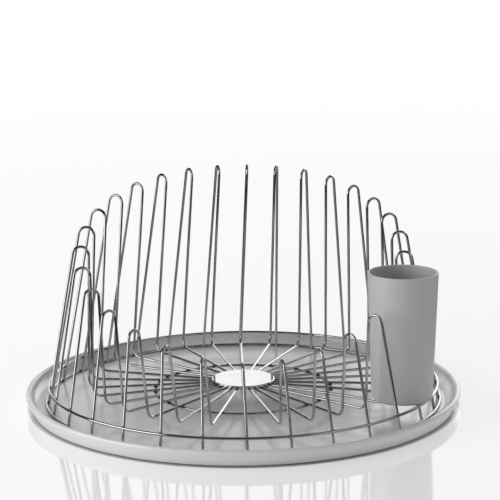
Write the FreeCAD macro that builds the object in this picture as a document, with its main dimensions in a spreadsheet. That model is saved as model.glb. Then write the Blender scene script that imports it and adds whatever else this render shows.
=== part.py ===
import FreeCAD
import Part
import math
import os
import Sketcher

# Round dish drainer: a wire rack standing in a shallow tray, with a cup for cutlery.
#
# Millimetres. The origin is the middle of the tray's underside, on the table; +Z is up, and -Y is the
# low front of the rack. Angles go counter-clockwise seen from above, from 0 at the front.
#
# Thirty wires of one thickness run out level from under a hub disc, over a small support ring, to a
# foot bend. There twenty-eight of them turn up, over a hairpin bend and down again to two outer rings.
# The hairpins are low at the front and rise smoothly to the back. The other two wires stay flat, which
# leaves a bay where the cup stands. The support ring isn't centred: it sits nearer to the front.

# Driving dimensions

DRIVING = {
    "tray_height": 15.2,
    "lip_outer": 201.3,  # corners of the lip, before it is rounded
    "lip_inner": 195.3,
    "lip_round": 2.2,
    "skirt_radius": 194.3,  # bottom edge of the outer wall
    "skirt_lift": 0.9,  # that edge stands this much off the table
    "skirt_edge": 1.2,  # width of that edge
    "skirt_edge_round": 0.44,
    "skirt_edge_slope": 0.3,  # its inner side leans this much
    "floor_top": 4.2,
    "floor_radius": 193.0,  # where the inner wall would meet the floor without its rounding
    "wall_round": 10.5,
    "floor_under": 1.2,
    "foot_inner": 182.0,
    "foot_outer": 188.0,
    "foot_slope": 0.5,  # both sides of the foot ring lean this much
    "wire": 2.5,
    "wire_count": 30,
    "first_wire": 1.3,  # angle of the first wire from the front, degrees
    "weld_sink": 0.06,  # how far two welded wires press into each other
    "stand_gap": 0.05,  # from the tray's floor to the lower ring
    "lower_ring": 181.3,
    "leg_past_ring": 1.0,  # the outer legs end this much below that ring's centreline
    "upper_ring_rise": 13.7,
    "inner_ring": 80.4,
    "inner_ring_shift": 15.5,  # its middle is this much nearer to the front
    "spoke_rise": 12.3,  # centrelines of the spokes above the lower ring's plane
    "hub_radius": 29.0,
    "hub_thick": 2.0,
    "hub_edge": 0.7,
    "wire_end": 16.0,  # radius at which the wires end under the disc
    "foot_radius": 142.0,  # where a spoke and its inner leg would meet without their bend
    "foot_bend": 8.5,
    "leg_slope": 10.5,  # outer legs lean inwards, degrees
    "lean": 2.5,  # all hairpins lean clockwise, degrees
    "top_bend": 7.2,
    "low_top": 72.4,  # top of the lowest hairpin's centreline above the lower ring's plane
    "high_top": 193.0,
    "low_side": 4.2,  # direction of the lowest hairpin, degrees
    "rise_early": 0.86,  # shape of the climb from low to high
    "rise_late": 1.21,
    "bay_first": 6,  # number of the first of the two flat wires
    "bay_level_radius": 114.0,  # up to here the flat wires are level like the others
    "bay_dip": 1.9,  # then they dip this much before they rise into the bay
    "bay_dip_radius": 136.0,
    "bay_run_radius": 146.0,
    "bay_bend": 4.0,
    "cup_base": 27.0,
    "cup_mouth": 31.2,
    "cup_height": 114.5,
    "cup_wall": 2.0,
    "cup_floor": 2.6,
    "cup_base_round": 2.4,
    "cup_mouth_round": 0.8,
    "cup_inner_round": 1.8,
    "cup_angle": 64.0,
    "cup_place": 156.9,  # radius at which the cup stands
    "cup_gap": 0.1,
    "drain_hole": 2.5,
    "drain_circle": 15.0,
    "drain_count": 6,
}

# Sizes that follow from them, as expressions of the sheet

ZERO = "(0 * sizes.wire)"
SKIRT_EDGE_IN = "(sizes.skirt_radius - sizes.skirt_edge)"
RING_PLANE = "(sizes.floor_top + sizes.stand_gap + sizes.wire / 2)"
LEG_ANGLE = "(sizes.leg_slope * 1 deg)"
LEG_RADIUS = f"(sizes.lower_ring - sizes.wire / cos({LEG_ANGLE}) + sizes.weld_sink)"
LEG_LOW = f"({RING_PLANE} - sizes.leg_past_ring)"
LEG_OUT = f"({LEG_RADIUS} + tan({LEG_ANGLE}) * sizes.leg_past_ring)"
UPPER_PLANE = f"({RING_PLANE} + sizes.upper_ring_rise)"
UPPER_RING = f"(sizes.lower_ring - tan({LEG_ANGLE}) * sizes.upper_ring_rise)"
SPOKE_PLANE = f"({RING_PLANE} + sizes.spoke_rise)"
INNER_PLANE = f"({SPOKE_PLANE} - sizes.wire + sizes.weld_sink)"
HUB_UNDERSIDE = f"({SPOKE_PLANE} + sizes.wire / 2 - sizes.weld_sink)"
BAY_CORNER = f"({LEG_RADIUS} - tan({LEG_ANGLE}) * sizes.upper_ring_rise)"
CUP_BOTTOM = f"({UPPER_PLANE} + sizes.wire / 2 + sizes.cup_gap)"

START = 1
END = 2
ORIGIN = -1
V_AXIS = -2

doc = FreeCAD.newDocument("dish_drainer")
sheet = doc.addObject("Spreadsheet::Sheet", "sizes")
nodes = []


def fill_sheet():
    for row, (name, number) in enumerate(DRIVING.items(), 1):
        sheet.set(f"A{row}", name)
        sheet.set(f"B{row}", str(number))
        sheet.setAlias(f"B{row}", name)
    doc.recompute()


def size(expression):
    """The number that an expression of the sheet stands for now."""
    return float(sheet.evalExpression(expression.replace("sizes.", "")))


def vector(x, y):
    return FreeCAD.Vector(x, y, 0)


def place_at(x, y, z, angle=0.0):
    turn = FreeCAD.Rotation(FreeCAD.Vector(0, 0, 1), angle)
    return FreeCAD.Placement(FreeCAD.Vector(x, y, z), turn)


def keep(node, label):
    node.Label = label
    nodes.append(node)
    return node


def new_body(label):
    return keep(doc.addObject("PartDesign::Body", label), label)


def new_sketch(body, name, role):
    sketch = body.newObject("Sketcher::SketchObject", name)
    plane = [feature for feature in body.Origin.OriginFeatures if feature.Role == role][0]
    sketch.AttachmentSupport = [(plane, "")]
    sketch.MapMode = "FlatFace"
    return sketch


def bind(sketch, name, kind, *where, expression, unit=""):
    """Adds a dimension to a sketch and ties it to an expression of the sheet."""
    number = size(expression)
    if kind == "Angle":
        number = math.radians(number)
    index = sketch.addConstraint(Sketcher.Constraint(kind, *where, number))
    sketch.renameConstraint(index, name)
    sketch.setExpression(f"Constraints.{name}", f"{expression}{unit}")


# Outlines made of straight runs joined by tangent bends


def bend_at(before, corner, after, radius):
    """The arc that rounds a corner: its circle, its angles, and whether it turns left."""
    back = (before - corner).normalize()
    ahead = (after - corner).normalize()
    half = back.getAngle(ahead) / 2
    centre = corner + (back + ahead).normalize() * (radius / math.sin(half))
    first = corner + back * (radius / math.tan(half)) - centre
    last = corner + ahead * (radius / math.tan(half)) - centre
    left = back.x * ahead.y - back.y * ahead.x < 0
    if not left:
        first, last = last, first
    start = math.atan2(first.y, first.x)
    stop = math.atan2(last.y, last.x)
    if stop < start:
        stop += 2 * math.pi
    circle = Part.Circle(centre, FreeCAD.Vector(0, 0, 1), radius)
    return Part.ArcOfCircle(circle, start, stop), left


def draw_runs(sketch, corners, radii):
    """Draws the runs between the corners and rounds each inner corner; returns both."""
    bends = {}
    for place in range(1, len(corners) - 1):
        if radii[place]:
            around = corners[place - 1], corners[place], corners[place + 1]
            bends[place] = bend_at(*around, size(radii[place]))
    runs = []
    arcs = {}
    for place in range(len(corners) - 1):
        start = corners[place]
        stop = corners[place + 1]
        if place in bends:
            arc, left = bends[place]
            start = arc.EndPoint if left else arc.StartPoint
        if place + 1 in bends:
            arc, left = bends[place + 1]
            stop = arc.StartPoint if left else arc.EndPoint
        runs.append(sketch.addGeometry(Part.LineSegment(start, stop), False))
        if place + 1 in bends:
            arcs[place + 1] = sketch.addGeometry(bends[place + 1][0], False)
    for place in range(1, len(corners) - 1):
        if place not in bends:
            joint = ("Coincident", runs[place - 1], END, runs[place], START)
            sketch.addConstraint(Sketcher.Constraint(*joint))
            continue
        into, out = (START, END) if bends[place][1] else (END, START)
        arc = arcs[place]
        sketch.addConstraint(Sketcher.Constraint("Tangent", runs[place - 1], END, arc, into))
        sketch.addConstraint(Sketcher.Constraint("Tangent", arc, out, runs[place], START))
        bind(sketch, f"bend_{place}", "Radius", arc, expression=radii[place])
    return runs, arcs


def pin_point(sketch, name, geometry, end, across, up):
    bind(sketch, f"{name}_across", "DistanceX", ORIGIN, START, geometry, end, expression=across)
    bind(sketch, f"{name}_up", "DistanceY", ORIGIN, START, geometry, end, expression=up)


def pin_corner(sketch, name, runs, across, up):
    """Fixes where two runs would meet if their corner weren't rounded."""
    point = sketch.addGeometry(Part.Point(vector(size(across), size(up))), True)
    pin_point(sketch, name, point, START, across, up)
    for run in runs:
        sketch.addConstraint(Sketcher.Constraint("PointOnObject", point, START, run))


def drawn_outline(sketch, outline):
    """A closed outline from the axis out and back to it; each corner is (across, up, radius)."""
    corners = [vector(size(across), size(up)) for across, up, radius in outline]
    runs, arcs = draw_runs(sketch, corners, [radius for across, up, radius in outline])
    for place in range(1, len(outline) - 1):
        across, up, radius = outline[place]
        if radius:
            pin_corner(sketch, f"corner_{place}", (runs[place - 1], runs[place]), across, up)
        else:
            pin_point(sketch, f"corner_{place}", runs[place], START, across, up)
    bottom = outline[0][1]
    top = outline[-1][1]
    pin_point(sketch, "axis_low", runs[0], START, ZERO, bottom)
    pin_point(sketch, "axis_high", runs[-1], END, ZERO, top)
    close = sketch.addGeometry(Part.LineSegment(corners[-1], corners[0]), False)
    sketch.addConstraint(Sketcher.Constraint("Coincident", runs[-1], END, close, START))
    sketch.addConstraint(Sketcher.Constraint("Coincident", close, END, runs[0], START))


def turned_body(label, outline):
    """A solid of revolution about the upright axis."""
    body = new_body(label)
    sketch = new_sketch(body, f"{label}_outline", "XZ_Plane")
    drawn_outline(sketch, outline)
    turned = body.newObject("PartDesign::Revolution", f"{label}_turned")
    turned.Profile = sketch
    turned.ReferenceAxis = (sketch, ["V_Axis"])
    turned.Angle = 360
    doc.recompute()
    return body


# The tray


def make_tray():
    outline = [
        (ZERO, "sizes.floor_under", None),
        ("sizes.foot_inner", "sizes.floor_under", None),
        ("sizes.foot_inner + sizes.foot_slope", ZERO, None),
        ("sizes.foot_outer - sizes.foot_slope", ZERO, None),
        ("sizes.foot_outer", "sizes.floor_under", None),
        (f"{SKIRT_EDGE_IN} - sizes.skirt_edge_slope", "sizes.floor_under", None),
        (SKIRT_EDGE_IN, "sizes.skirt_lift", None),
        ("sizes.skirt_radius", "sizes.skirt_lift", "sizes.skirt_edge_round"),
        ("sizes.lip_outer", "sizes.tray_height", "sizes.lip_round"),
        ("sizes.lip_inner", "sizes.tray_height", "sizes.lip_round"),
        ("sizes.floor_radius", "sizes.floor_top", "sizes.wall_round"),
        (ZERO, "sizes.floor_top", None),
    ]
    turned_body("tray", outline)


# The rings and the hub disc


def make_ring(label, radius, height, forward=0.0):
    ring = keep(doc.addObject("Part::Torus", label), label)
    ring.setExpression("Radius1", radius)
    ring.setExpression("Radius2", "sizes.wire / 2")
    ring.Placement = place_at(0, -forward, size(height))


def make_hub_disc():
    body = new_body("hub_disc")
    sketch = new_sketch(body, "disc_outline", "XY_Plane")
    circle = Part.Circle(vector(0, 0), FreeCAD.Vector(0, 0, 1), size("sizes.hub_radius"))
    disc = sketch.addGeometry(circle, False)
    sketch.addConstraint(Sketcher.Constraint("Coincident", disc, 3, ORIGIN, START))
    bind(sketch, "disc_radius", "Radius", disc, expression="sizes.hub_radius")
    pad = body.newObject("PartDesign::Pad", "disc_pad")
    pad.Profile = sketch
    pad.setExpression("Length", "sizes.hub_thick")
    doc.recompute()
    rims = [
        f"Edge{number}"
        for number, edge in enumerate(pad.Shape.Edges, 1)
        if len(edge.Vertexes) == 1 and edge.BoundBox.ZMin > size("sizes.hub_thick") / 2
    ]
    rounded = body.newObject("PartDesign::Fillet", "disc_edge")
    rounded.Base = (pad, rims)
    rounded.setExpression("Radius", "sizes.hub_edge")
    body.Placement = place_at(0, 0, size(HUB_UNDERSIDE))


# The wires


def wire_angle(number):
    return f"(sizes.first_wire + {number - 1} * 360 / sizes.wire_count)"


def hairpin_top(number):
    """Height of a hairpin's centreline above the table: a smooth climb from front to back."""
    turn = f"cos(({wire_angle(number)} - sizes.low_side) * 1 deg)"
    climb = f"(1 - ((1 + {turn}) / 2) ^ sizes.rise_late) ^ sizes.rise_early"
    return f"({RING_PLANE} + sizes.low_top + (sizes.high_top - sizes.low_top) * {climb})"


def meeting_point(point_a, way_a, point_b, way_b):
    """Where two lines in the sketch's plane cross."""
    gap = point_b - point_a
    across = way_a.x * way_b.y - way_a.y * way_b.x
    along = (gap.x * way_b.y - gap.y * way_b.x) / across
    return point_a + way_a * along


def hairpin_apex(foot, leg, top):
    """Where the two legs of a hairpin would meet above its bend."""
    slope = math.radians(size("sizes.leg_slope"))
    bend = size("sizes.top_bend")
    way = vector(-math.sin(slope), math.cos(slope))
    inward = vector(-math.cos(slope), -math.sin(slope))
    along = (top - bend - leg.y - bend * inward.y) / way.y
    centre = leg + way * along + inward * bend
    reach = centre - foot
    tilt = math.atan2(reach.y, reach.x) + math.asin(bend / reach.Length)
    return meeting_point(foot, vector(math.cos(tilt), math.sin(tilt)), leg, way)


def sweep_wire(body, path):
    """A round wire along the path, which starts level under the hub disc."""
    section = new_sketch(body, f"{body.Name}_section", "YZ_Plane")
    section.setExpression("AttachmentOffset.Base.z", "sizes.wire_end")
    middle = vector(0, size(SPOKE_PLANE))
    circle = Part.Circle(middle, FreeCAD.Vector(0, 0, 1), size("sizes.wire / 2"))
    ring = section.addGeometry(circle, False)
    section.addConstraint(Sketcher.Constraint("PointOnObject", ring, 3, V_AXIS))
    bind(section, "height", "DistanceY", ORIGIN, START, ring, 3, expression=SPOKE_PLANE)
    bind(section, "thick", "Diameter", ring, expression="sizes.wire")
    swept = body.newObject("PartDesign::AdditivePipe", f"{body.Name}_swept")
    swept.Profile = section
    swept.Spine = path


def stand_wire(body, number):
    """Leans the wire sideways about the lower ring's plane, then turns it to its place."""
    pivot = FreeCAD.Vector(0, 0, size(RING_PLANE))
    tilt = FreeCAD.Rotation(FreeCAD.Vector(1, 0, 0), size("sizes.lean"))
    leaned = FreeCAD.Placement(FreeCAD.Vector(0, 0, 0), tilt, pivot)
    body.Placement = place_at(0, 0, 0, size(wire_angle(number)) - 90).multiply(leaned)


def make_hairpin(number):
    body = new_body(f"hairpin_{number:02d}")
    path = new_sketch(body, f"{body.Name}_path", "XZ_Plane")
    end = vector(size("sizes.wire_end"), size(SPOKE_PLANE))
    foot = vector(size("sizes.foot_radius"), size(SPOKE_PLANE))
    top = hairpin_top(number)
    leg = vector(size(LEG_OUT), size(LEG_LOW))
    corners = [end, foot, hairpin_apex(foot, leg, size(top)), leg]
    runs, arcs = draw_runs(path, corners, [None, "sizes.foot_bend", "sizes.top_bend", None])
    pin_point(path, "end", runs[0], START, "sizes.wire_end", SPOKE_PLANE)
    pin_corner(path, "foot", runs[0:2], "sizes.foot_radius", SPOKE_PLANE)
    pin_point(path, "leg", runs[2], END, LEG_OUT, LEG_LOW)
    above = f"({top} - sizes.top_bend)"
    bind(path, "top", "DistanceY", ORIGIN, START, arcs[2], 3, expression=above)
    lines = V_AXIS, START, runs[2], END
    bind(path, "slope", "Angle", *lines, expression="sizes.leg_slope", unit=" * 1 deg")
    sweep_wire(body, path)
    stand_wire(body, number)


def make_bay_wire(number):
    body = new_body(f"bay_wire_{number:02d}")
    path = new_sketch(body, f"{body.Name}_path", "XZ_Plane")
    dip = f"({SPOKE_PLANE} - sizes.bay_dip)"
    outline = [
        ("sizes.wire_end", SPOKE_PLANE, None),
        ("sizes.bay_level_radius", SPOKE_PLANE, "sizes.foot_bend"),
        ("sizes.bay_dip_radius", dip, "sizes.foot_bend"),
        ("sizes.bay_run_radius", UPPER_PLANE, "sizes.foot_bend"),
        (BAY_CORNER, UPPER_PLANE, "sizes.bay_bend"),
        (LEG_OUT, LEG_LOW, None),
    ]
    corners = [vector(size(across), size(up)) for across, up, radius in outline]
    runs, arcs = draw_runs(path, corners, [radius for across, up, radius in outline])
    pin_point(path, "end", runs[0], START, "sizes.wire_end", SPOKE_PLANE)
    for place in range(1, len(runs)):
        across, up, radius = outline[place]
        pin_corner(path, f"corner_{place}", runs[place - 1:place + 1], across, up)
    pin_point(path, "leg", runs[-1], END, LEG_OUT, LEG_LOW)
    sweep_wire(body, path)
    stand_wire(body, number)


# The cup


def make_cup():
    outline = [
        (ZERO, ZERO, None),
        ("sizes.cup_base", ZERO, "sizes.cup_base_round"),
        ("sizes.cup_mouth", "sizes.cup_height", "sizes.cup_mouth_round"),
        ("sizes.cup_mouth - sizes.cup_wall", "sizes.cup_height", "sizes.cup_mouth_round"),
        ("sizes.cup_base - sizes.cup_wall", "sizes.cup_floor", "sizes.cup_inner_round"),
        (ZERO, "sizes.cup_floor", None),
    ]
    body = turned_body("cutlery_cup", outline)
    sketch = new_sketch(body, "drain_hole", "XY_Plane")
    middle = vector(size("sizes.drain_circle"), 0)
    circle = Part.Circle(middle, FreeCAD.Vector(0, 0, 1), size("sizes.drain_hole"))
    hole = sketch.addGeometry(circle, False)
    sketch.addConstraint(Sketcher.Constraint("PointOnObject", hole, 3, ORIGIN))
    bind(sketch, "from_axis", "DistanceX", ORIGIN, START, hole, 3, expression="sizes.drain_circle")
    bind(sketch, "hole_radius", "Radius", hole, expression="sizes.drain_hole")
    pocket = body.newObject("PartDesign::Pocket", "drain_pocket")
    pocket.Profile = sketch
    pocket.Reversed = True
    pocket.setExpression("Length", "2 * sizes.cup_floor")
    doc.recompute()
    pattern = body.newObject("PartDesign::PolarPattern", "drain_holes")
    pattern.Originals = [pocket]
    pattern.Axis = (sketch, ["N_Axis"])
    pattern.Angle = 360
    pattern.setExpression("Occurrences", "sizes.drain_count")
    body.Tip = pattern
    angle = math.radians(size("sizes.cup_angle"))
    reach = size("sizes.cup_place")
    body.Placement = place_at(reach * math.sin(angle), -reach * math.cos(angle), size(CUP_BOTTOM))


# Checks and files


def check_model():
    doc.recompute()
    for thing in doc.Objects:
        if "Invalid" in thing.State or "Error" in thing.State:
            raise RuntimeError(f"{thing.Name} did not build: {thing.State}")
        if thing.TypeId == "Sketcher::SketchObject" and not thing.FullyConstrained:
            raise RuntimeError(f"{thing.Name} is not fully constrained")
    for node in nodes:
        if node.Shape.isNull() or not node.Shape.isValid() or len(node.Shape.Solids) != 1:
            raise RuntimeError(f"{node.Label} is not one valid solid")


def write_parts():
    os.makedirs("parts", exist_ok=True)
    for node in nodes:
        node.Shape.exportStep(os.path.join("parts", f"{node.Label}.step"))
        box = node.Shape.optimalBoundingBox()
        print(f"{node.Label}: {node.Shape.Volume:.0f} mm3, z {box.ZMin:.2f} to {box.ZMax:.2f}")


def main():
    fill_sheet()
    make_tray()
    make_ring("lower_ring", "sizes.lower_ring", RING_PLANE)
    make_ring("upper_ring", UPPER_RING, UPPER_PLANE)
    make_ring("inner_ring", "sizes.inner_ring", INNER_PLANE, size("sizes.inner_ring_shift"))
    make_hub_disc()
    bay = int(size("sizes.bay_first"))
    for number in range(1, int(size("sizes.wire_count")) + 1):
        if number in (bay, bay + 1):
            make_bay_wire(number)
        else:
            make_hairpin(number)
    make_cup()
    check_model()
    write_parts()


main()
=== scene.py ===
# %% [markdown]
# # A round dish drainer in polished wire and grey plastic
#
# The drainer has three parts that come apart: a shallow round tray, a welded wire rack that stands
# in it, and a tapered cup for cutlery that stands in a flat bay of the rack.
#
# The measured CAD model is loaded first and stays where it is. It already has every wire, ring and
# wall at its real size, so this lesson spends its effort on what CAD doesn't show: the weld beads
# that hold the wires together, the way polished steel and satin plastic take the light, and a
# studio that looks like the one the drainer was photographed in.

# %% Load the measured model
import math
import bpy
from mathutils import Matrix, Vector


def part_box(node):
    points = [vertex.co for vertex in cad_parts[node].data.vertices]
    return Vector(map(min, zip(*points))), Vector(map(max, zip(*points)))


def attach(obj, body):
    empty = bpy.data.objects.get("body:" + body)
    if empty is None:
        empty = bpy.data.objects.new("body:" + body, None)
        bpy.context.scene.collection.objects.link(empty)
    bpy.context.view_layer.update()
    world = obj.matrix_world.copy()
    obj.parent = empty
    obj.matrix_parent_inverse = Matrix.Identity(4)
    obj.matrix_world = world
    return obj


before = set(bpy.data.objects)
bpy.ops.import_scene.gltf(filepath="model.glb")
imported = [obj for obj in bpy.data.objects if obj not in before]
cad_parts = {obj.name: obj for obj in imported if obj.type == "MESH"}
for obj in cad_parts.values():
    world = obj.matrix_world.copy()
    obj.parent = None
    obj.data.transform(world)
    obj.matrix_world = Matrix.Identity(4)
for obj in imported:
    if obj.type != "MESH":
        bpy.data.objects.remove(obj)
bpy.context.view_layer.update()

# %% [markdown]
# ## Sizes to work from
#
# Nothing is typed twice if the model can tell it. The box of each CAD node gives the radius and the
# height of the rings, the disc and the thickness of the wire. Everything is in metres, with the
# table at height zero.

# %% Read the rings, the disc and the wire from the model
def ring_size(node):
    """Radius and height of a ring's centreline, how far it sits to the front, its thickness."""
    low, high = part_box(node)
    thick = high.z - low.z
    return (high.x - low.x - thick) / 2, (high.z + low.z) / 2, -(high.y + low.y) / 2, thick


INNER_RING, INNER_HEIGHT, FORWARD, WIRE = ring_size("inner_ring")
UPPER_RING, UPPER_HEIGHT, _, _ = ring_size("upper_ring")
LOWER_RING, LOWER_HEIGHT, _, _ = ring_size("lower_ring")
disc_low, disc_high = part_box("hub_disc")
DISC_RADIUS = (disc_high.x - disc_low.x) / 2
WIRES = 30
FIRST_WIRE = math.radians(1.3)  # the first wire's direction, counted from the front
LEAN = math.radians(2.5)
print(f"wire {WIRE * 1000:.2f} mm, rings {INNER_RING:.4f} {UPPER_RING:.4f} {LOWER_RING:.4f} m")
print(f"the inner ring sits {FORWARD * 1000:.1f} mm nearer to the front")

# %% [markdown]
# ## Camera
#
# The photograph looks slightly down on the drainer, from about 1.6 m away with a long lens, and the
# camera was rolled by half a degree. The first rotation tips the camera down from the horizon, and
# the second is the roll about its own line of sight.

# %% Place the camera
STANDS_AT = (0.0074, -1.5919, 0.4701)
DOWN = math.radians(11.66)
ROLLED = math.radians(-0.54)
camera_data = bpy.data.cameras.new("photo_camera")
camera_data.sensor_width = 36
camera_data.lens = 128.4
camera_data.clip_end = 100
camera = bpy.data.objects.new("photo_camera", camera_data)
bpy.context.scene.collection.objects.link(camera)
tip = Matrix.Rotation(math.pi / 2 - DOWN, 4, "X")
roll = Matrix.Rotation(ROLLED, 4, "Z")
camera.matrix_world = Matrix.Translation(STANDS_AT) @ tip @ roll
bpy.context.scene.camera = camera
print("camera at", [round(v, 3) for v in camera.matrix_world.translation])

# %% [markdown]
# ## Small helpers for materials
#
# Every finish here is a Principled shader fed by a few texture nodes. These helpers keep the cells
# short: one adds a node and sets its inputs, and one links a chain of nodes. Plain numbers go
# straight onto the shader's own sockets, and only what varies over the surface is linked.

# %% Helpers that build a node material
TEXTURE_LOW = 0.3  # most of a noise lies between these two
TEXTURE_HIGH = 0.7


def new_material(name, **values):
    """A material with a Principled shader whose plain values are set by name."""
    material = bpy.data.materials.new(name)
    material.use_nodes = True
    shader = material.node_tree.nodes["Principled BSDF"]
    for key, value in values.items():
        shader.inputs[key.replace("_", " ").title().replace("Ior", "IOR")].default_value = value
    return material, shader


def add_node(material, kind, place, **values):
    """Adds a node; values go to its inputs where it has one of that name, else to its settings."""
    node = material.node_tree.nodes.new(kind)
    node.location = place
    for key, value in values.items():
        socket = node.inputs.get(key.replace("_", " ").title())
        if socket is None:
            setattr(node, key, value)
        else:
            socket.default_value = value
    return node


def link(material, output, target):
    """Feeds one node's output into another node's input."""
    material.node_tree.links.new(output, target)


def object_place(material, scale=(1, 1, 1)):
    """The point on the piece in metres, stretched by scale."""
    coordinates = add_node(material, "ShaderNodeTexCoord", (-1400, 0))
    mapping = add_node(material, "ShaderNodeMapping", (-1200, 0), scale=scale)
    link(material, coordinates.outputs["Object"], mapping.inputs["Vector"])
    return mapping.outputs["Vector"]


def noise(material, vector, place, **values):
    """An uneven pattern; scale is in spots per metre."""
    node = add_node(material, "ShaderNodeTexNoise", place, **values)
    link(material, vector, node.inputs["Vector"])
    return node.outputs["Fac"]


def spread(material, value, low, high, place, start=TEXTURE_LOW, stop=TEXTURE_HIGH):
    """Maps a texture's range from start to stop onto the numbers low to high."""
    node = add_node(material, "ShaderNodeMapRange", place, from_min=start, from_max=stop,
                    to_min=low, to_max=high)
    link(material, value, node.inputs["Value"])
    return node.outputs["Result"]


def shades(material, value, dark, light, place):
    """Colours between two shades, following a texture."""
    ramp = add_node(material, "ShaderNodeValToRGB", place)
    stops = (TEXTURE_LOW, dark), (TEXTURE_HIGH, light)
    for element, (position, colour) in zip(ramp.color_ramp.elements, stops):
        element.position = position
        element.color = (*colour, 1)
    link(material, value, ramp.inputs["Fac"])
    return ramp.outputs["Color"]


def raise_grain(material, shader, height, strength, depth):
    """Bump from a texture: depth is in metres."""
    bump = add_node(material, "ShaderNodeBump", (-300, -400), strength=strength, distance=depth)
    link(material, height, bump.inputs["Height"])
    link(material, bump.outputs["Normal"], shader.inputs["Normal"])


print("helpers ready")

# %% [markdown]
# ## Polished stainless wire
#
# Drawn and polished wire is nearly a mirror, so most of its look is what it reflects. What keeps it
# from looking like chrome paint is a slight unevenness: faint cloudy changes in its shade and in
# how sharp the reflection is, and very fine marks. Two noises at different scales do both.

# %% Steel for wires and rings
steel, steel_shader = new_material("polished_steel_wire", metallic=1.0)
point = object_place(steel)
clouds = noise(steel, point, (-950, 200), scale=45.0, detail=3.0)
marks = noise(steel, point, (-950, -250), scale=1400.0, detail=2.0)
link(steel, shades(steel, clouds, (0.47, 0.47, 0.48), (0.57, 0.57, 0.58), (-600, 250)),
     steel_shader.inputs["Base Color"])
link(steel, spread(steel, clouds, 0.05, 0.11, (-600, 0)), steel_shader.inputs["Roughness"])
raise_grain(steel, steel_shader, marks, 0.25, 0.00005)
print("made", steel.name)

# %% [markdown]
# ## The bright disc
#
# The hub disc is stamped from sheet and polished on a wheel, so it is the sharpest mirror of the
# drainer, with a faint trace of circles round its middle. A wave texture in rings gives the trace.

# %% Steel for the disc
disc_steel, disc_shader = new_material("polished_steel_disc", metallic=1.0)
point = object_place(disc_steel)
rings = add_node(disc_steel, "ShaderNodeTexWave", (-950, -200), wave_type="RINGS", scale=900.0,
                 distortion=1.5, detail=2.0, rings_direction="Z")
link(disc_steel, point, rings.inputs["Vector"])
clouds = noise(disc_steel, point, (-950, 200), scale=60.0, detail=2.0)
link(disc_steel, shades(disc_steel, clouds, (0.68, 0.68, 0.69), (0.75, 0.75, 0.75), (-600, 250)),
     disc_shader.inputs["Base Color"])
link(disc_steel, spread(disc_steel, clouds, 0.015, 0.035, (-600, 0)),
     disc_shader.inputs["Roughness"])
raise_grain(disc_steel, disc_shader, rings.outputs["Fac"], 0.02, 0.00001)
print("made", disc_steel.name)

# %% [markdown]
# ## Weld metal
#
# The beads aren't polished and have a rough skin. They are real welds, but their almost black
# colour is painted shade for the gaps where the wires cross and under the disc's edge.

# %% Near-black finish for the weld beads, as painted shade
weld_steel, weld_shader = new_material("weld_dark_as_painted_shade", metallic=0.6)
point = object_place(weld_steel)
skin = noise(weld_steel, point, (-950, 0), scale=1800.0, detail=3.0)
# near black from 0.012 to 0.06: painted shade for the gaps where the wires cross
link(weld_steel, shades(weld_steel, skin, (0.012, 0.012, 0.013), (0.06, 0.06, 0.06), (-600, 250)),
     weld_shader.inputs["Base Color"])
link(weld_steel, spread(weld_steel, skin, 0.4, 0.6, (-600, 0)), weld_shader.inputs["Roughness"])
raise_grain(weld_steel, weld_shader, skin, 0.5, 0.0001)
print("made", weld_steel.name)

# %% [markdown]
# ## Satin plastic
#
# The tray and the cup are moulded from the same kind of plastic in two greys. Its skin has a fine
# spark-eroded grain that breaks up reflections, so highlights are soft but still there at a
# shallow angle. One function makes both, with the shade and the gloss as its inputs.

# %% Plastic for the tray and the cup
def satin_plastic(name, dark, light, sharp, dull):
    """Grey plastic from dark to light, its roughness from sharp to dull."""
    material, shader = new_material(name, ior=1.6)
    place = object_place(material)
    cloudy = noise(material, place, (-950, 250), scale=9.0, detail=4.0)
    grain = noise(material, place, (-950, -300), scale=1500.0, detail=2.0)
    link(material, shades(material, cloudy, (dark,) * 3, (light,) * 3, (-600, 250)),
         shader.inputs["Base Color"])
    link(material, spread(material, cloudy, sharp, dull, (-600, 0)), shader.inputs["Roughness"])
    raise_grain(material, shader, grain, 0.1, 0.0001)
    return material


tray_plastic = satin_plastic("tray_satin_plastic", 0.55, 0.58, 0.15, 0.2)
cup_plastic = satin_plastic("cup_satin_plastic", 0.39, 0.41, 0.34, 0.42)
print("made", tray_plastic.name, cup_plastic.name)

# %% [markdown]
# ## Give the CAD nodes their finishes
#
# Each CAD node arrives with one slot named after its entry in the record. The slot's name says
# which finish goes on.

# %% Swap the plain materials for the finished ones
FINISHES = {
    "tray_plastic": tray_plastic,
    "cup_plastic": cup_plastic,
    "steel_wire": steel,
    "steel_disc": disc_steel,
}
for name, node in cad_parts.items():
    for holder in node.material_slots:
        holder.material = FINISHES[holder.material.name.split(".")[0]]
print("finished", len(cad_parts), "nodes")

# %% [markdown]
# ## Weld beads
#
# Every crossing of two wires is spot welded, and each weld leaves a small bead squeezed out between
# them. The beads are coloured near black as painted shade for the gaps where the wires cross. They
# are tiny, but in the photograph they are what makes the rack look made rather than drawn. One bead
# is modelled from a sphere with an uneven skin. It is then copied to each crossing and stretched to
# fit, and the copies on one ring are joined into one piece.

# %% A tool to start from a clean selection
def select_only(*objects):
    """Selects these objects alone and makes the first one active."""
    bpy.ops.object.select_all(action="DESELECT")
    for thing in objects:
        thing.select_set(True)
    bpy.context.view_layer.objects.active = objects[0]


# %% Model one bead
def model_bead():
    """A ball of 1 mm radius with an uneven skin."""
    bpy.ops.object.select_all(action="DESELECT")
    bpy.ops.mesh.primitive_uv_sphere_add(segments=14, ring_count=8, radius=0.001)
    bead = bpy.context.object
    bpy.ops.object.mode_set(mode="EDIT")
    bpy.ops.mesh.select_all(action="SELECT")
    bpy.ops.transform.vertex_random(offset=0.00012, seed=3)
    bpy.ops.mesh.vertices_smooth(factor=0.4, repeat=2)
    bpy.ops.object.mode_set(mode="OBJECT")
    return bead


bead_pattern = model_bead()
print("bead has", len(bead_pattern.data.polygons), "faces")

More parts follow.
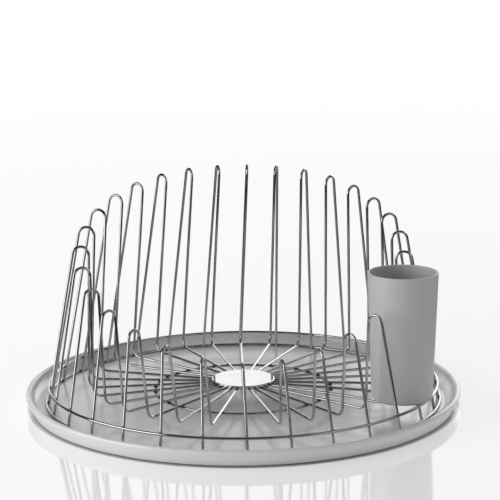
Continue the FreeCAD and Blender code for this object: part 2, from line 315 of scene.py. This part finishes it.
# %% [markdown]
# A weld's place is an angle, a radius and a height. The wires lean a little to one side, all the
# same way, so a crossing above the lowest ring is shifted sideways by the lean. The inner ring
# isn't centred, so its radius under a wire depends on the wire's angle: it is the distance from the
# middle to a circle whose own middle lies nearer to the front. Each copy is stretched to the gap
# that it fills.

# %% Copy the bead round a ring
def reach(radius, forward, angle):
    """Distance from the middle to a ring along a direction; the angle is 0 at the front."""
    along = forward * math.cos(angle)
    return along + math.sqrt(radius ** 2 - (forward * math.sin(angle)) ** 2)


def weld_round(name, radius, height, stretch, forward=0.0):
    """Beads at all thirty wires; stretch is (outwards, sideways, up) from 1 mm."""
    copies = []
    shift = (height - LOWER_HEIGHT) * math.sin(LEAN)
    for number in range(WIRES):
        direction = FIRST_WIRE + number * math.tau / WIRES
        copy = bead_pattern.copy()
        copy.data = bead_pattern.data.copy()
        bpy.context.scene.collection.objects.link(copy)
        turn = Matrix.Rotation(direction - math.pi / 2, 4, "Z")
        far = reach(radius, forward, direction)
        place = turn @ Matrix.Translation((far, -shift, height))
        copy.matrix_world = place @ Matrix.Diagonal((*stretch, 1))
        copies.append(copy)
    bpy.context.view_layer.update()
    select_only(*copies)
    bpy.ops.object.join()
    welds = bpy.context.object
    bpy.ops.object.transform_apply(location=True, rotation=True, scale=True)
    bpy.ops.object.shade_smooth()
    welds.name = name
    welds.data.name = name
    welds.data.materials.clear()
    welds.data.materials.append(weld_steel)
    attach(welds, "rack")
    print(name, len(welds.data.polygons), "faces at radius", round(radius, 4))


# %% Weld the rings and the disc
ABOVE_INNER_RING = 0.3 * WIRE
INSIDE_DISC_EDGE = 0.0015
UNDER_DISC = 0.0006
# the beads' near-black colour is painted shade at the crossings, not the colour of the weld metal
weld_round("inner_ring_welds", INNER_RING, INNER_HEIGHT + ABOVE_INNER_RING, (2.2, 2.2, 1.4),
           FORWARD)
weld_round("upper_ring_welds", UPPER_RING - WIRE / 2, UPPER_HEIGHT, (0.9, 1.8, 1.5))
weld_round("lower_ring_welds", LOWER_RING - WIRE / 2, LOWER_HEIGHT, (0.9, 1.8, 1.2))
# under the disc's edge the near-black beads also fill the gaps between spokes: painted shade for
# the dark under the disc
weld_round("disc_welds", DISC_RADIUS - INSIDE_DISC_EDGE, disc_low.z - UNDER_DISC, (1.6, 2.4, 0.8))
bpy.data.objects.remove(bead_pattern)

# %% [markdown]
# ## Table
#
# The drainer stands on a white gloss table, so bright that it shows no shadow beyond the thin dark
# line under the tray, only a soft mirror image. The table's glow stops short of the tray, as hardly
# any light gets in there, and that leaves the dark line.
#
# In the photograph the upright wires don't mirror any white table in front of them, so what was lit
# was hardly bigger than the tray. Here a large table is what the camera sees, and the wires mirror
# a small lit sheet just under it instead. Neither is part of the drainer.

# %% White gloss table and the lit sheet that wires mirror
TABLE_SIZE = 15.6
TABLE_GLOW = 0.37
DARK_RADIUS = 0.1972  # no glow inside this radius, and all of it from FADE further out
FADE = 0.0025
SHEET_SIZE = 0.62
SHEET_DEPTH = 0.001


def lit_plane(name, size, height, grey, glow, **values):
    """A level square that glows by itself."""
    bpy.ops.object.select_all(action="DESELECT")
    bpy.ops.mesh.primitive_plane_add(size=size, location=(0, 0, height))
    plane = bpy.context.object
    plane.name = name
    gloss, shader = new_material(name + "_white", **values)
    shader.inputs["Base Color"].default_value = (grey, grey, grey, 1)
    shader.inputs["Emission Color"].default_value = (1, 1, 1, 1)
    shader.inputs["Emission Strength"].default_value = glow
    plane.data.materials.append(gloss)
    return plane


def shade_middle(material, glow):
    """Takes the glow away under the tray; the gradient is 0 at one unit from the middle."""
    outside = DARK_RADIUS + FADE
    place = object_place(material, (1 / outside, 1 / outside, 1 / outside))
    gradient = add_node(material, "ShaderNodeTexGradient", (-950, 0), gradient_type="SPHERICAL")
    link(material, place, gradient.inputs["Vector"])
    strength = spread(material, gradient.outputs["Fac"], glow, 0, (-600, 0), 0, FADE / outside)
    shader = material.node_tree.nodes["Principled BSDF"]
    link(material, strength, shader.inputs["Emission Strength"])


table = lit_plane("studio_table", TABLE_SIZE, 0, 0.45, TABLE_GLOW, roughness=0.06, ior=3.6)
shade_middle(table.active_material, TABLE_GLOW)
table.visible_glossy = False
sheet = lit_plane("mirrored_sheet", SHEET_SIZE, -SHEET_DEPTH, 0.4, 0.3, roughness=0.5)
sheet.visible_camera = False
sheet.visible_diffuse = False
sheet.visible_shadow = False
bpy.context.scene.view_settings.view_transform = "Standard"
print("table ready")

# %% [markdown]
# ## Surroundings
#
# In an all-white room polished wire would vanish. In the photograph the wires are dark with thin
# bright lines, so they stood in a dark studio with a few lit panels. The world below is white where
# the camera sees it, gives even light to the plastic, and is nearly black in a mirror. Two mixes
# choose between the three strengths by the kind of ray.

# %% A world that is white to the camera and dark to mirrors
CAMERA_WHITE = 1.05
EVEN_LIGHT = 0.45
MIRROR_DARK = 0.02
world = bpy.data.worlds.new("studio_room")
bpy.context.scene.world = world
world.use_nodes = True
tree = world.node_tree
surroundings = tree.nodes["Background"]
surroundings.inputs["Color"].default_value = (1, 1, 1, 1)
rays = tree.nodes.new("ShaderNodeLightPath")
in_mirrors = tree.nodes.new("ShaderNodeMix")
in_mirrors.inputs["A"].default_value = EVEN_LIGHT
in_mirrors.inputs["B"].default_value = MIRROR_DARK
in_camera = tree.nodes.new("ShaderNodeMix")
in_camera.inputs["B"].default_value = CAMERA_WHITE
tree.links.new(rays.outputs["Is Glossy Ray"], in_mirrors.inputs["Factor"])
tree.links.new(rays.outputs["Is Camera Ray"], in_camera.inputs["Factor"])
tree.links.new(in_mirrors.outputs["Result"], in_camera.inputs["A"])
tree.links.new(in_camera.outputs["Result"], surroundings.inputs["Strength"])
print("world ready")

# %% [markdown]
# ## Lit panels and two lamps
#
# A white panel stands behind the drainer with a second one at its right: the disc, the tops of the
# spokes and the tray's floor mirror them. A strong one at the left gives the wires their thin
# bright lines and the upper ring its white stretch. Weaker ones at the right, one high and one low,
# keep the wires there from going black, and a small one behind gives the right rim its edge of
# light. A faint one overhead does the same for what is seen from above.
#
# The two lamps only light the plastic. A photographer parts light and reflection with black cards;
# here each panel is told which of the two it does. All of them leave the table alone but the lamps.

# %% Lit panels and two lamps
def receivers(name, state):
    """What a lamp lights: with INCLUDE the table alone, with EXCLUDE all but the table."""
    group = bpy.data.collections.new(name)
    group.objects.link(table)
    group.collection_objects[0].light_linking.link_state = state
    return group


table_only = receivers("table_only", "INCLUDE")
all_but_table = receivers("all_but_table", "EXCLUDE")


def panel(name, place, aim, width, height, brightness, lights=True, mirrored=True):
    """A rectangle of light that the camera doesn't see; brightness is that of its face."""
    light = bpy.data.lights.new(name, "AREA")
    light.shape = "RECTANGLE"
    light.size = width
    light.size_y = height
    light.energy = brightness * math.pi * width * height
    holder = bpy.data.objects.new(name, light)
    bpy.context.scene.collection.objects.link(holder)
    holder.visible_camera = False
    holder.visible_diffuse = lights
    holder.visible_glossy = mirrored
    if mirrored:
        holder.light_linking.receiver_collection = all_but_table
    direction = Vector(aim) - Vector(place)
    turn = direction.to_track_quat("-Z", "Y").to_matrix().to_4x4()
    holder.matrix_world = Matrix.Translation(place) @ turn
    print(name, round(light.energy, 1), "W")
    return holder


panel("back_panel", (0, 3.0, 0.85), (0, 0, 0.85), 3.6, 1.7, 1.15)
panel("left_panel", (-1.88, -0.68, 0.55), (0, 0, 0.2), 1.8, 1.6, 2.7, lights=False)
panel("right_panel", (1.88, -0.68, 1.1), (0, 0, 0.2), 2.2, 1.0, 0.9, lights=False)
panel("back_right_panel", (1.3, 2.95, 0.9), (1.3, 0, 0.9), 2.0, 1.7, 1.2)
panel("right_back_panel", (1.5, 1.3, 0.5), (0, 0, 0.2), 1.1, 1.3, 1.0)
panel("right_front_panel", (1.25, -1.55, 0.3), (0, 0, 0.1), 1.7, 0.56, 0.42, lights=False)
panel("ceiling_panel", (0, 0.2, 2.4), (0, 0.2, 0), 1.8, 1.8, 0.3, lights=False)
panel("left_lamp", (-1.9, -0.75, 0.6), (0, 0, 0.1), 1.4, 1.2, 7.0, mirrored=False)
panel("right_lamp", (1.9, 0.2, 0.7), (0, 0, 0.1), 1.0, 1.0, 1.2, mirrored=False)

# %% [markdown]
# The table has a white room of its own, which nothing else mirrors: four walls and a ceiling,
# linked to the table alone. So the floor looks evenly white from every side, not just from the
# photograph's side, and only the drainer shows in it.

# %% White walls for the table alone
ROOM = 8.0
WALL_MIDDLE = 1.0
for name, across, deep in (("left_wall", -ROOM, 0), ("right_wall", ROOM, 0),
                           ("back_wall", 0, ROOM), ("front_wall", 0, -ROOM), ("ceiling", 0, 0)):
    high, aim = (ROOM, 0) if name == "ceiling" else (WALL_MIDDLE, WALL_MIDDLE)
    wall = panel(name, (across, deep, high), (0, 0, aim), 2 * ROOM, 2 * ROOM, 1.0, lights=False)
    wall.light_linking.receiver_collection = table_only
print("the table has its own white room")
